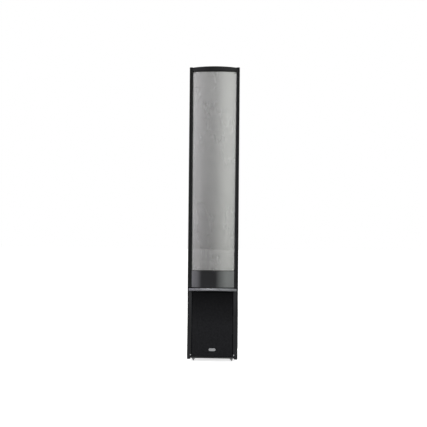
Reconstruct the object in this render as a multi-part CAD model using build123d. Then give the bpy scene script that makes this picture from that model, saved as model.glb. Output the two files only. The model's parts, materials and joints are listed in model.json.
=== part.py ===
from build123d import *
import os
from math import cos, hypot, pi, sin, sqrt

# Floorstanding hybrid loudspeaker: an electrostatic panel above a bass cabinet.
# Millimetres. +Z is up, the front faces -Y, and +X is to the right as seen from the front.
# The origin is on the floor, under the centre of the bounding box.

# --- Overall size -------------------------------------------------------------
WIDTH = 228.6
DEPTH = 413.0
HEIGHT = 1340.0
FRONT_Y = -DEPTH / 2
REAR_Y = DEPTH / 2
CLEAR = 0.2  # assembly clearance between neighbouring parts

# --- Levels above the floor ---------------------------------------------------
RAIL_BOTTOM = 11.0
BASE_BOTTOM = 15.0
BASE_TOP = 33.0
GRILLE_BOTTOM = 22.0
GRILLE_TOP = 314.0
LEDGE_BOTTOM = 318.5
LEDGE_TOP = 335.0
CABINET_TOP = 398.0
MESH_BOTTOM = 410.0
MESH_TOP = 1316.0
RAIL_TOP = 1336.0

# --- Curved panel, arcs about one vertical axis -------------------------------
PANEL_R = 421.0
PANEL_FRONT_Y = -195.0
ARC_Y = PANEL_FRONT_Y + PANEL_R
PANEL_HALF = 109.0
STATOR_T = 1.2
SPACER_T = 1.4
FILM_T = 0.3
PLY_GAP = 0.05
FILM_GAP = 0.35
FASCIA_R = PANEL_R + 4.0
FASCIA_T = 3.0
CAP_R = PANEL_R + 6.0
CAP_ROOF = MESH_TOP + 10.0
CAP_LIP = 3.0
CAP_END = 12.0
LEDGE_R = ARC_Y - FRONT_Y
LEDGE_HALF = 108.5
LEDGE_DEPTH = 19.0
LEDGE_ARCH = 2.5
STACK_BOTTOM = CABINET_TOP + CLEAR
STACK_TOP = MESH_TOP + 8.0
SPACER_EDGE = 9.0
SPACER_BAR = 2.6
SPACER_LEVELS = (447, 502, 565, 625, 684, 743, 801, 868, 921, 983, 1030, 1096, 1148, 1208, 1257)
STRIP_GAP = 0.3
GASKET_T = 2.2
SLOT_CLEAR = 0.3
LEAD_X = (-24.0, 0.0, 24.0)
LEAD_Y = -186.0
LEAD_EXIT_Z = 362.0
LEAD_R = 1.3
LEAD_HOLE_R = 4.0

# --- Side rails ---------------------------------------------------------------
RAIL_X = WIDTH / 2
RAIL_FRONT_Y = -192.5
RAIL_REAR_Y = -150.0
RAIL_W_BOTTOM = 20.0
RAIL_W_LEDGE = 17.6
RAIL_W_TOP = 14.1
RAIL_CREST_X = 105.0
RAIL_BEVEL = 3.5
RAIL_NOSE_R = 6.0
SKIRT_T = 4.1
PIN_R = 2.0
PIN_HOLE_R = 2.05
RAIL_SCREW_X = 98.0
RAIL_SCREW_Z = 31.0
RAIL_SCREW_R = 1.3

# --- Bass cabinet -------------------------------------------------------------
BAFFLE_FRONT_Y = -172.0
BAFFLE_T = 18.0
CABINET_HALF = 110.0
CABINET_REAR_Y = 200.0
WALL = 12.0
REAR_WALL_TOP = 190.0
ROOF_SAG = 22.0
EDGE_R = 6.0
BRACE_Y = 0.0
BRACE_T = 16.0

# --- Woofer, on an axis parallel to Y -----------------------------------------
WOOFER_Z = 165.0
WOOFER_R = 101.5
BASKET_R = 91.0
SEAL_T = 1.0
FLANGE_T = 4.0
SCREW_PCR = 96.5
SCREW_COUNT = 8
CONE_R = 66.0
ROLL_R = 79.0
COIL_R = 19.0
BASKET_ARMS = 6

# --- Grille -------------------------------------------------------------------
GRILLE_HALF = 91.8
GRILLE_FRONT_Y = -194.0
GRILLE_BACK_Y = -182.0
CLOTH_T = 0.8
CLOTH_EDGE_R = 4.0
OPENING_R = 83.5
PEG_X = 81.0
PEG_Z = (40.0, 296.0)
PEG_R = 3.0
PEG_CLEAR = 0.05
BADGE_Z = 54.5
BADGE_W = 31.0
BADGE_H = 12.0
BADGE_T = 1.6
BADGE_PINS = (-9.0, 9.0)

# --- Spikes -------------------------------------------------------------------
SPIKE_X = 87.0
SPIKE_FRONT_Y = -160.0
SPIKE_REAR_Y = 176.0
SPIKE_R = 7.0
SPIKE_TIP_R = 1.0
STUD_R = 4.0
STUD_TOP = 29.0
NUT_T = 4.0
NUT_FLATS = 13.0
THREAD_CLEAR = 0.06
INSERT_R = 6.0

# --- Circuit boards -----------------------------------------------------------
BOARD_X = 84.0
BOARD_Y = (30.0, 146.0)
BOARD_Z = 41.0
BOARD_T = 1.6

# --- Rear terminals -----------------------------------------------------------
CUP_Z = 68.0
CUP_W = 112.0
CUP_H = 62.0
CUP_T = 2.5
CUP_RECESS_W = 92.0
CUP_RECESS_H = 44.0
CUP_FLOOR_Y = 176.0
POST_X = (-27.0, -2.0)
POST_R = 3.5
POST_END_Y = 199.5
BANANA_R = 2.0
BANANA_DEPTH = 13.0
WASHER_T = 1.6
THUMB_R = 8.0
THUMB_L = 11.5
NUT_CLEAR = 0.05
JACK_X = 27.0
PORT_Z = 143.0
PORT_R = 30.0
PORT_FLARE_R = 40.0
PORT_L = 112.0


# === Helpers ==================================================================
def block(x0, x1, y0, y1, z0, z1):
    """A box between two corners."""
    return Pos((x0 + x1) / 2, (y0 + y1) / 2, (z0 + z1) / 2) * Box(x1 - x0, y1 - y0, z1 - z0)


def rod_y(x, z, radius, y0, y1):
    """A cylinder along Y."""
    return Pos(x, (y0 + y1) / 2, z) * Rot(90, 0, 0) * Cylinder(radius, y1 - y0)


def rod_z(x, y, radius, z0, z1):
    """A cylinder along Z."""
    return Pos(x, y, (z0 + z1) / 2) * Cylinder(radius, z1 - z0)


def rod_x(y, z, radius, x0, x1):
    """A cylinder along X."""
    return Pos((x0 + x1) / 2, y, z) * Rot(0, 90, 0) * Cylinder(radius, x1 - x0)


def column(outline, z0, z1):
    """A plan outline raised from z0 to z1."""
    return Pos(0, 0, z0) * extrude(outline, z1 - z0)


def arc_plan(r_out, r_in, half_width):
    """Plan view of a curved sheet, convex to the front, cut to a half width."""
    ring = Pos(0, ARC_Y) * (Circle(r_out) - Circle(r_in))
    window = Pos(0, FRONT_Y + 60) * Rectangle(2 * half_width, 140)
    return ring & window


def arc_front_plan(r_out, half_width, y_back):
    """Plan view of a bar with a curved front and a flat back."""
    window = Pos(0, (FRONT_Y - 20 + y_back) / 2) * Rectangle(2 * half_width, y_back - FRONT_Y + 20)
    return (Pos(0, ARC_Y) * Circle(r_out)) & window


def revolved(points, x, z, y0):
    """A ring about an axis along Y, from (radius, distance behind y0) corners."""
    profile = make_face(Polyline(*points, close=True))
    turned = revolve(profile, Axis.Y)
    return Pos(x, y0, z) * turned


def round_places(count, radius, first=0.0):
    """Points on a circle, as (x, z) offsets."""
    turns = [first + 2 * pi * i / count for i in range(count)]
    return [(radius * cos(t), radius * sin(t)) for t in turns]


def wire(radius, bend, *points):
    """A round lead along a path with rounded corners."""
    path = FilletPolyline(*points, radius=bend)
    return sweep(path.location_at(0) * Circle(radius), path=path)


def mirrored(shape):
    """The same shape on the other side of the centre plane."""
    return mirror(shape, about=Plane.YZ)


def save(name, *shapes):
    """Writes one node. Several shapes stay separate solids in one file."""
    body = shapes[0] if len(shapes) == 1 else Compound(children=list(shapes))
    body.label = name
    export_step(body, f"parts/{name}.step")


# === Side rails ===============================================================
def rail_outline(lower):
    """Plan view of the right rail. The lower part has a thin skirt beside the cabinet."""
    inner = RAIL_X - RAIL_W_BOTTOM
    skirt = RAIL_X - SKIRT_T
    front = [
        (RAIL_X, RAIL_REAR_Y),
        (RAIL_X, RAIL_FRONT_Y),
        (RAIL_CREST_X, RAIL_FRONT_Y),
        (inner, RAIL_FRONT_Y + RAIL_BEVEL),
    ]
    step_y = BAFFLE_FRONT_Y - CLEAR
    back = [(inner, step_y), (skirt, step_y), (skirt, RAIL_REAR_Y)] if lower else [(inner, RAIL_REAR_Y)]
    outline = make_face(Polyline(*front, *back, close=True))
    nose = outline.vertices().filter_by(lambda v: v.X > RAIL_X - 1 and v.Y < RAIL_REAR_Y - 1)
    tail = outline.vertices().filter_by(lambda v: v.X > RAIL_X - 1 and v.Y > RAIL_REAR_Y - 1)
    crest = outline.vertices().filter_by(
        lambda v: abs(v.X - RAIL_CREST_X) < 1 and v.Y < RAIL_REAR_Y - 1
    )
    outline = fillet(nose, RAIL_NOSE_R)
    outline = fillet(outline.vertices().sort_by_distance(crest[0].center())[0], RAIL_NOSE_R)
    return fillet(outline.vertices().sort_by_distance(tail[0].center())[0], 1.5)


def rail():
    """The right rail: nose, panel slot, hollow chamber and lower skirt."""
    upper = column(rail_outline(False), CABINET_TOP + CLEAR, RAIL_TOP)
    lower = column(rail_outline(True), RAIL_BOTTOM, CABINET_TOP + CLEAR)
    body = upper + lower
    # The inner face leans outwards with height.
    lean = Polyline(
        (80, LEDGE_TOP + CLEAR),
        (RAIL_X - RAIL_W_LEDGE, LEDGE_TOP + CLEAR),
        (RAIL_X - RAIL_W_TOP, RAIL_TOP + 1),
        (80, RAIL_TOP + 1),
        close=True,
    )
    body -= extrude(make_face(Plane.XZ * lean), 300, both=True)
    # A slot for the panel's edge and gasket.
    reach = GASKET_T + SLOT_CLEAR
    slot = arc_plan(PANEL_R + reach, stack_back_r() - reach, PANEL_HALF + reach)
    body -= column(slot, CABINET_TOP, MESH_TOP + 10) & block(80, 120, -250, 0, 0, HEIGHT)
    # A hollow chamber, open at its lower end above the cabinet.
    body -= block(103.5, 110.5, -168, -153.5, CABINET_TOP, RAIL_TOP - 8)
    # A seat for the end of the ledge trim.
    body -= column(
        arc_plan(LEDGE_R + 30, LEDGE_R - LEDGE_DEPTH - CLEAR, LEDGE_HALF + CLEAR),
        LEDGE_BOTTOM - LEDGE_ARCH - CLEAR,
        LEDGE_TOP + CLEAR,
    )
    # The lower inner corner is cut back at a slant.
    slant = Polyline(
        (90, 5),
        (100.5, 5),
        (100.5, RAIL_BOTTOM),
        (94, RAIL_BOTTOM + 7),
        (90, RAIL_BOTTOM + 7),
        close=True,
    )
    body -= extrude(make_face(Plane.XZ * slant), 300, both=True)
    # Blind holes for the locating pins, and one for the small fixing screw.
    for y, z in pin_places():
        body -= rod_x(y, z, PIN_HOLE_R, 80, 106)
    body -= rod_y(RAIL_SCREW_X, RAIL_SCREW_Z, RAIL_SCREW_R + 0.05, -200, -180)
    return body


def pin_places():
    """(y, z) of the locating pins between the rails and what they hold apart."""
    return ((-160.0, 1321.0), (-179.0, 365.0))


def build_rails():
    right = rail()
    save("rail_right", right)
    save("rail_left", mirrored(right))
    screw = rail_screw()
    save("rail_screws", screw, mirrored(screw))


def rail_screw():
    """A small screw whose low round head stands clear of the rail's bevel."""
    shank = rod_y(RAIL_SCREW_X, RAIL_SCREW_Z, RAIL_SCREW_R, -192.0, -182.0)
    head = rod_y(RAIL_SCREW_X, RAIL_SCREW_Z, 2.4, -192.9, -191.4)
    return shank + fillet(head.edges().group_by(Axis.Y)[0], 0.5)


# === Cap, cross member, fascia and ledge ======================================
def front_edges(shape):
    """The long edges along the front of a curved bar."""
    return shape.edges().filter_by(lambda e: e.center().Y < PANEL_FRONT_Y + 4 and e.length > 100)


def build_top_cap():
    half = RAIL_X - RAIL_W_TOP - CLEAR
    plan = column(arc_front_plan(CAP_R, half, RAIL_REAR_Y), MESH_TOP, HEIGHT)
    crown = make_face(
        Plane.XZ
        * (
            Polyline((-half, RAIL_TOP), (-half, MESH_TOP), (half, MESH_TOP), (half, RAIL_TOP))
            + ThreePointArc((half, RAIL_TOP), (0, HEIGHT), (-half, RAIL_TOP))
        )
    )
    cap = plan & extrude(crown, 300, both=True)
    cap = fillet(front_edges(cap).sort_by(Axis.Z)[-1], 3.0)
    cap = chamfer(front_edges(cap).sort_by(Axis.Z)[0], 4.0)
    slot = arc_plan(PANEL_R + SLOT_CLEAR, stack_back_r() - SLOT_CLEAR, half + 5)
    cap -= column(slot, MESH_TOP - 1, CAP_ROOF)
    # Behind the lip that backs the slot, only a roof and two end blocks are left.
    hollow = arc_front_plan(stack_back_r() - SLOT_CLEAR - CAP_LIP, half - CAP_END, RAIL_REAR_Y + 1)
    cap -= column(hollow, MESH_TOP - 1, CAP_ROOF)
    y, z = pin_places()[0]
    cap -= rod_x(y, z, PIN_HOLE_R, half - 8, half + 5)
    cap -= rod_x(y, z, PIN_HOLE_R, -half - 5, -half + 8)
    save("top_cap", cap)


def build_cross_member():
    half = RAIL_X - RAIL_W_LEDGE - CLEAR
    back_y = BAFFLE_FRONT_Y - CLEAR
    behind_fascia = arc_front_plan(FASCIA_R - FASCIA_T - CLEAR, half, back_y)
    behind_panel = arc_front_plan(stack_back_r() - SLOT_CLEAR, half, back_y)
    body = column(behind_fascia, LEDGE_TOP + CLEAR, CABINET_TOP)
    body += column(behind_panel, CABINET_TOP, MESH_BOTTOM + 2)
    # Shallow pockets from below save weight.
    for x in (-62, 62):
        body -= block(x - 24, x + 24, -186, -176, LEDGE_TOP, CABINET_TOP - 8)
    # The panel's leads come down through the middle and leave at the back.
    for x in LEAD_X:
        body -= rod_z(x, LEAD_Y, 3.0, 350, CABINET_TOP + 1)
        body -= rod_y(x, LEAD_EXIT_Z, LEAD_HOLE_R, LEAD_Y, back_y + 1)
    y, z = pin_places()[1]
    body -= rod_x(y, z, PIN_HOLE_R, half - 8, half + 5)
    body -= rod_x(y, z, PIN_HOLE_R, -half - 5, -half + 8)
    save("cross_member", body)


def build_locating_pins():
    pins = []
    for y, z in pin_places():
        inner = 92.5 if z > MESH_BOTTOM else 89.0
        pin = rod_x(y, z, PIN_R, inner, 105.8)
        pins += [pin, mirrored(pin)]
    save("locating_pins", *pins)


def build_lower_fascia():
    half = RAIL_X - RAIL_W_LEDGE - CLEAR
    sheet = column(arc_plan(FASCIA_R, FASCIA_R - FASCIA_T, half), LEDGE_TOP + CLEAR, MESH_BOTTOM)
    top_front = sheet.edges().filter_by(lambda e: e.length > 100).group_by(Axis.Z)[-1]
    sheet = fillet(top_front.sort_by(Axis.Y)[0], 1.0)
    save("lower_fascia", sheet)


def build_ledge_trim():
    plan = arc_plan(LEDGE_R, LEDGE_R - LEDGE_DEPTH, LEDGE_HALF)
    plan = column(plan, LEDGE_BOTTOM - 10, LEDGE_TOP + 10)
    low_end = LEDGE_BOTTOM - LEDGE_ARCH
    high_end = LEDGE_TOP - LEDGE_ARCH
    outline = make_face(
        Plane.XZ
        * (
            ThreePointArc((-LEDGE_HALF, low_end), (0, LEDGE_BOTTOM), (LEDGE_HALF, low_end))
            + Line((LEDGE_HALF, low_end), (LEDGE_HALF, high_end))
            + ThreePointArc((LEDGE_HALF, high_end), (0, LEDGE_TOP), (-LEDGE_HALF, high_end))
            + Line((-LEDGE_HALF, high_end), (-LEDGE_HALF, low_end))
        )
    )
    bar = plan & extrude(outline, 300, both=True)
    fronts = bar.edges().filter_by(lambda e: e.length > 100).group_by(Axis.Y)[0]
    save("ledge_trim", fillet(fronts, 4.5))


# === Electrostatic panel ======================================================
def stack_radii():
    """Outer radius of each ply, from the front sheet back to the rear sheet."""
    plies = (
        (STATOR_T, PLY_GAP),
        (SPACER_T, FILM_GAP),
        (FILM_T, FILM_GAP),
        (SPACER_T, PLY_GAP),
        (STATOR_T, 0.0),
    )
    radii = []
    outer = PANEL_R
    for thickness, gap in plies:
        radii.append((outer, outer - thickness))
        outer -= thickness + gap
    return radii


def stack_back_r():
    """Inner radius of the rear sheet."""
    return stack_radii()[-1][1]


def spacer_strips(r_out, r_in):
    """Clear tape that holds the film off a sheet: two upright edge strips, and bars that run between them."""
    inner_half = PANEL_HALF - SPACER_EDGE
    side = column(arc_plan(r_out, r_in, PANEL_HALF), STACK_BOTTOM, STACK_TOP)
    side &= block(inner_half, PANEL_HALF, -PANEL_R, 0, 0, HEIGHT)
    bar_plan = arc_plan(r_out, r_in, inner_half - STRIP_GAP)
    spans = [(z - SPACER_BAR / 2, z + SPACER_BAR / 2) for z in SPACER_LEVELS]
    spans.append((STACK_BOTTOM, STACK_BOTTOM + SPACER_EDGE))
    spans.append((STACK_TOP - SPACER_EDGE, STACK_TOP))
    return [side, mirrored(side)] + [column(bar_plan, z0, z1) for z0, z1 in spans]


def build_panel():
    front, spacer_a, film, spacer_b, rear = stack_radii()
    save("stator_front", column(arc_plan(*front, PANEL_HALF), STACK_BOTTOM, STACK_TOP))
    save("stator_rear", column(arc_plan(*rear, PANEL_HALF), STACK_BOTTOM, STACK_TOP))
    save("diaphragm", column(arc_plan(*film, PANEL_HALF - 1), STACK_BOTTOM + 1, STACK_TOP - 1))
    save("panel_spacers", *spacer_strips(*spacer_a), *spacer_strips(*spacer_b))


def build_edge_gaskets():
    """Foam strips round the panel's edges, inside the rails' slots."""
    outer = arc_plan(PANEL_R + GASKET_T, stack_back_r() - GASKET_T, PANEL_HALF + GASKET_T)
    inner = arc_plan(PANEL_R + 0.1, stack_back_r() - 0.1, PANEL_HALF + 0.1)
    strip = column(outer - inner, MESH_BOTTOM + 3, MESH_TOP - CLEAR)
    strip &= block(RAIL_X - RAIL_W_TOP + 0.5, 120, -250, 0, 0, HEIGHT)
    save("edge_gaskets", strip, mirrored(strip))


# === Panel leads ==============================================================
def build_panel_leads():
    """Insulated leads from the panel's lower edge to the step-up transformer and the bias board."""
    leads = []
    for x in LEAD_X:
        leads.append(
            wire(
                LEAD_R,
                6.0,
                (x, LEAD_Y, CABINET_TOP),
                (x, LEAD_Y, LEAD_EXIT_Z),
                (x, -128, LEAD_EXIT_Z),
                (x * 1.5, -50, 258),
                (x * 1.5, 36, 244),
                (x + 48, 60, 120),
                (x + 48, 90, 93 - abs(x) / 10),
            )
        )
    save("panel_leads", *leads)


# === Bass cabinet =============================================================
def roof_circle(shrink):
    """The disc in side view whose upper edge is the curved roof."""
    y0, z0 = CABINET_REAR_Y, REAR_WALL_TOP
    y1, z1 = BAFFLE_FRONT_Y + BAFFLE_T, CABINET_TOP
    chord = hypot(y1 - y0, z1 - z0)
    radius = chord**2 / (8 * ROOF_SAG) + ROOF_SAG / 2
    up_y, up_z = (z1 - z0) / chord, (y0 - y1) / chord
    reach = radius - ROOF_SAG
    centre = ((y0 + y1) / 2 - reach * up_y, (z0 + z1) / 2 - reach * up_z)
    return Pos(*centre) * Circle(radius - shrink)


def side_profile(y0, y1, z0, z1, shrink):
    """Side view of the cabinet or of its cavity, under the curved roof."""
    return (Pos((y0 + y1) / 2, (z0 + z1) / 2) * Rectangle(y1 - y0, z1 - z0)) & roof_circle(shrink)


def across(profile, half_width):
    """A side-view profile made into a solid of a given half width."""
    return extrude(Plane.YZ * profile, half_width, both=True)


def build_cabinet():
    baffle_back = BAFFLE_FRONT_Y + BAFFLE_T
    outer = across(side_profile(baffle_back, CABINET_REAR_Y, BASE_TOP, CABINET_TOP, 0), CABINET_HALF)
    long_edges = outer.edges().filter_by(
        lambda e: abs(abs(e.center().X) - CABINET_HALF) < 0.1
        and e.center().Y > baffle_back + 5
        and e.center().Z > BASE_TOP + 5
    )
    outer = fillet(long_edges, EDGE_R)
    cavity = across(
        side_profile(baffle_back - 50, CABINET_REAR_Y - WALL, BASE_TOP - 50, CABINET_TOP - WALL, WALL),
        CABINET_HALF - WALL,
    )
    shell = outer - cavity
    half_w, half_h = CUP_RECESS_W / 2 + 3, CUP_RECESS_H / 2 + 3
    shell -= block(-half_w, half_w, 180, 210, CUP_Z - half_h, CUP_Z + half_h)
    shell -= rod_y(0, PORT_Z, PORT_R + 2.6, 180, 210)
    shell -= rod_y(0, PORT_Z, PORT_FLARE_R + 0.2, CABINET_REAR_Y - 3.2, 210)
    for x, z in cup_screw_places():
        shell -= rod_y(x, z, 1.4, 189, 210)
    save("cabinet_shell", shell)


def build_baffle():
    back_y = BAFFLE_FRONT_Y + BAFFLE_T
    baffle = block(-CABINET_HALF, CABINET_HALF, BAFFLE_FRONT_Y, back_y, BASE_TOP, CABINET_TOP)
    rebate_y = BAFFLE_FRONT_Y + FLANGE_T + SEAL_T
    baffle -= rod_y(0, WOOFER_Z, WOOFER_R + 0.4, BAFFLE_FRONT_Y - 1, rebate_y)
    baffle -= rod_y(0, WOOFER_Z, BASKET_R + 1.5, BAFFLE_FRONT_Y - 1, back_y + 1)
    for dx, dz in round_places(SCREW_COUNT, SCREW_PCR, pi / 8):
        baffle -= rod_y(dx, WOOFER_Z + dz, 1.9, BAFFLE_FRONT_Y, BAFFLE_FRONT_Y + 17.5)
    for x in (-PEG_X, PEG_X):
        for z in PEG_Z:
            baffle -= rod_y(x, z, 5.6, BAFFLE_FRONT_Y - 1, BAFFLE_FRONT_Y + 13)
    for x in LEAD_X:
        baffle -= rod_y(x, LEAD_EXIT_Z, LEAD_HOLE_R, BAFFLE_FRONT_Y - 1, back_y + 1)
    save("front_baffle", baffle)


def build_base():
    main = block(-CABINET_HALF, CABINET_HALF, BAFFLE_FRONT_Y, REAR_Y, BASE_BOTTOM, BASE_TOP)
    main = fillet(main.edges().filter_by(Axis.Z).group_by(Axis.Y)[-1], 4.0)
    lip_half = RAIL_X - RAIL_W_BOTTOM - CLEAR
    main += block(-lip_half, lip_half, -191.0, BAFFLE_FRONT_Y, BASE_BOTTOM, GRILLE_BOTTOM - 1)
    for x, y in spike_places():
        main -= rod_z(x, y, INSERT_R + 0.05, BASE_BOTTOM - 1, BASE_TOP - 2)
    save("base_panel", main)


def build_brace():
    z_top = 296.0
    half = CABINET_HALF - WALL - CLEAR
    back_y = BRACE_Y + BRACE_T
    outer = block(-half, half, BRACE_Y, back_y, BASE_TOP + CLEAR, z_top)
    window = block(-68, 68, BRACE_Y - 1, back_y + 1, 66, z_top - 30)
    window = fillet(window.edges().filter_by(Axis.Y), 22)
    save("window_brace", outer - window)


def build_wadding():
    """Soft pads on the side walls and under the roof."""
    inner = CABINET_HALF - WALL - CLEAR
    rear_pad = block(inner - 15, inner, 22, 150, 100, 186)
    front_pad = block(inner - 15, inner, -66, -6, 60, 280)
    rear_pad = fillet(rear_pad.edges().filter_by(Axis.X), 10)
    front_pad = fillet(front_pad.edges().filter_by(Axis.X), 10)
    save("damping_wadding", rear_pad, mirrored(rear_pad), front_pad, mirrored(front_pad))


def build_port():
    """Flared port tube through the rear wall."""
    rear = CABINET_REAR_Y
    tube = rod_y(0, PORT_Z, PORT_R + 2.4, rear - PORT_L, rear - 1)
    flare = rod_y(0, PORT_Z, PORT_FLARE_R, rear - 3, rear + 0.8)
    bore = rod_y(0, PORT_Z, PORT_R, rear - PORT_L - 1, rear + 5)
    body = tube + flare - bore
    mouth = body.edges().filter_by(GeomType.CIRCLE).group_by(Axis.Y)[-1].sort_by(lambda e: e.radius)[0]
    save("port_tube", fillet(mouth, 8.0))


# === Woofer ===================================================================
def build_basket():
    """Cast frame: flange, landing for the surround, six arms, spider seat and magnet seat."""
    ring = [
        (WOOFER_R, 0),
        (WOOFER_R, FLANGE_T),
        (BASKET_R, FLANGE_T),
        (BASKET_R, 7.0),
        (52, 62),
        (46, 62),
        (46, 66),
        (24, 66),
        (24, 62),
        (38, 60),
        (38, 47),
        (50, 47),
        (ROLL_R + 0.5, 6.0),
        (ROLL_R + 0.5, 2.4),
        (88, 2.4),
        (88, 0),
    ]
    basket = revolved(ring, 0, WOOFER_Z, BAFFLE_FRONT_Y)
    for i in range(BASKET_ARMS):
        turn = Rot(0, 360 * (i + 0.5) / BASKET_ARMS, 0)
        window = fillet(Box(50, 34, 48).edges().filter_by(Axis.X), 8)
        basket -= Pos(0, BAFFLE_FRONT_Y + 28, WOOFER_Z) * turn * Pos(72, 0, 0) * window
    for dx, dz in round_places(SCREW_COUNT, SCREW_PCR, pi / 8):
        basket -= rod_y(dx, WOOFER_Z + dz, 2.2, BAFFLE_FRONT_Y - 1, BAFFLE_FRONT_Y + FLANGE_T + 1)
    save("woofer_basket", basket)


def build_motor():
    y = BAFFLE_FRONT_Y
    plate = revolved([(20.6, 66), (50, 66), (50, 72), (20.6, 72)], 0, WOOFER_Z, y)
    save("woofer_top_plate", plate)
    magnet = revolved([(29, 72), (58, 72), (58, 90), (29, 90)], 0, WOOFER_Z, y)
    save("woofer_magnet", fillet(magnet.edges().filter_by(lambda e: e.length > 300), 2.0))
    yoke = [(6, 66), (18.5, 66), (18.5, 90), (50, 90), (50, 95), (24, 97), (6, 97)]
    save("woofer_yoke", revolved(yoke, 0, WOOFER_Z, y))


def build_moving_parts():
    """Cone, dust cap, former and winding, which move together, with the two flexible rings."""
    y = BAFFLE_FRONT_Y
    neck_r = COIL_R + 0.6
    profile = [
        (CONE_R, 2.2),
        (CONE_R, 3.3),
        (42, 19.0),
        (neck_r, 31.2),
        (neck_r, 30.0),
        (42.5, 17.8),
    ]
    save("woofer_cone", revolved(profile, 0, WOOFER_Z, y))
    cap_r = 23.0
    rise = 8.0
    dome_r = (cap_r**2 + rise**2) / (2 * rise)
    rim_y = 25.6
    ball_y = y + rim_y - rise + dome_r
    dome = Pos(0, ball_y, WOOFER_Z) * (Sphere(dome_r) - Sphere(dome_r - 0.8))
    dome &= rod_y(0, WOOFER_Z, cap_r, y, y + rim_y)
    save("woofer_dust_cap", dome)
    wall_r = COIL_R + 0.4
    former = revolved([(COIL_R, 28), (wall_r, 28), (wall_r, 80), (COIL_R, 80)], 0, WOOFER_Z, y)
    save("voice_coil_former", former)
    inner = COIL_R + 0.45
    winding = revolved([(inner, 61), (inner + 0.7, 61), (inner + 0.7, 79), (inner, 79)], 0, WOOFER_Z, y)
    save("voice_coil", winding)


def build_surround():
    """Half-roll rubber ring between the cone's rim and the frame's landing."""
    y = BAFFLE_FRONT_Y
    mid = (CONE_R + ROLL_R) / 2
    half = (ROLL_R - CONE_R) / 2
    bore = half - 1.0
    land = 1.2
    outline = make_face(
        Line((CONE_R - 3.5, land - 0.1), (CONE_R - 3.5, land + 0.9))
        + Line((CONE_R - 3.5, land + 0.9), (mid - bore, land + 0.9))
        + ThreePointArc((mid - bore, land + 0.9), (mid, land + 0.9 - bore), (mid + bore, land + 0.9))
        + Line((mid + bore, land + 0.9), (86.5, land + 0.9))
        + Line((86.5, land + 0.9), (86.5, land - 0.1))
        + Line((86.5, land - 0.1), (mid + half, land - 0.1))
        + ThreePointArc((mid + half, land - 0.1), (mid, land - 0.1 - half), (mid - half, land - 0.1))
        + Line((mid - half, land - 0.1), (CONE_R - 3.5, land - 0.1))
    )
    ring = Pos(0, y, WOOFER_Z) * revolve(outline, Axis.Y)
    save("woofer_surround", ring)


def build_spider():
    """Corrugated ring that centres the voice coil."""
    y = BAFFLE_FRONT_Y
    seat_y = 46.9
    inner = COIL_R + 0.5
    top = [(inner, seat_y - 0.6)]
    steps = 8
    span = 46.5 - inner
    for i in range(1, steps):
        wave = 1.2 if i % 2 else -1.2
        top.append((inner + span * i / steps, seat_y - 0.6 + wave - 1.2))
    top.append((46.5, seat_y - 0.6))
    bottom = [(r, h + 0.6) for r, h in reversed(top)]
    save("woofer_spider", revolved(top + bottom, 0, WOOFER_Z, y))


def build_woofer_fixings():
    y = BAFFLE_FRONT_Y
    seal_back = FLANGE_T + SEAL_T
    seal_r = BASKET_R + 2
    profile = [(WOOFER_R, FLANGE_T), (WOOFER_R, seal_back), (seal_r, seal_back), (seal_r, FLANGE_T)]
    seal = revolved(profile, 0, WOOFER_Z, y)
    screws = []
    for dx, dz in round_places(SCREW_COUNT, SCREW_PCR, pi / 8):
        seal -= rod_y(dx, WOOFER_Z + dz, 2.2, y, y + 10)
        shank = rod_y(dx, WOOFER_Z + dz, 1.85, y - 1.0, y + 17)
        head = rod_y(dx, WOOFER_Z + dz, 3.4, y - 2.2, y)
        head = fillet(head.edges().group_by(Axis.Y)[0], 0.8)
        hexagon = extrude(RegularPolygon(1.5, 6), 1.2, both=True)
        socket = Pos(dx, y - 1.9, WOOFER_Z + dz) * Rot(90, 0, 0) * hexagon
        screws.append(shank + head - socket)
    save("woofer_seal", seal)
    save("woofer_screws", *screws)


# === Grille ===================================================================
def grille_slab(inset, y_back):
    """Rounded slab of the grille's outline, drawn in by an inset."""
    slab = block(
        -GRILLE_HALF + inset,
        GRILLE_HALF - inset,
        GRILLE_FRONT_Y + inset,
        y_back,
        GRILLE_BOTTOM + inset,
        GRILLE_TOP - inset,
    )
    slab = fillet(slab.edges().filter_by(Axis.Y), CLOTH_EDGE_R - inset)
    return fillet(slab.edges().group_by(Axis.Y)[0], CLOTH_EDGE_R - inset - 0.2)


def build_grille():
    frame = grille_slab(CLOTH_T + 0.1, GRILLE_BACK_Y)
    opening = rod_y(0, WOOFER_Z, OPENING_R, GRILLE_FRONT_Y - 5, GRILLE_BACK_Y + 5)
    frame -= opening
    for x in (-PEG_X, PEG_X):
        for z in PEG_Z:
            frame -= rod_y(x, z, PEG_R + 0.02, GRILLE_BACK_Y - 7, GRILLE_BACK_Y + 1)
    cloth = grille_slab(0, GRILLE_BACK_Y - 0.5) - grille_slab(CLOTH_T, GRILLE_BACK_Y + 1)
    for x in BADGE_PINS:
        cloth -= rod_y(x, BADGE_Z, 1.3, GRILLE_FRONT_Y - 1, GRILLE_FRONT_Y + 3)
        frame -= rod_y(x, BADGE_Z, 1.05, GRILLE_FRONT_Y - 1, GRILLE_FRONT_Y + 6)
    save("grille_frame", frame)
    save("grille_cloth", cloth)
    pegs = []
    cups = []
    for x in (-PEG_X, PEG_X):
        for z in PEG_Z:
            peg = rod_y(x, z, PEG_R, GRILLE_BACK_Y - 6.8, BAFFLE_FRONT_Y + 10)
            pegs.append(fillet(peg.edges().group_by(Axis.Y)[-1], 1.2))
            cup = rod_y(x, z, 5.5, BAFFLE_FRONT_Y, BAFFLE_FRONT_Y + 12.8)
            cup += rod_y(x, z, 7.5, BAFFLE_FRONT_Y - 1.4, BAFFLE_FRONT_Y)
            hole_end = BAFFLE_FRONT_Y + 11.5
            cups.append(cup - rod_y(x, z, PEG_R + PEG_CLEAR, BAFFLE_FRONT_Y - 3, hole_end))
    save("grille_pegs", *pegs)
    save("grille_cups", *cups)


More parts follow.
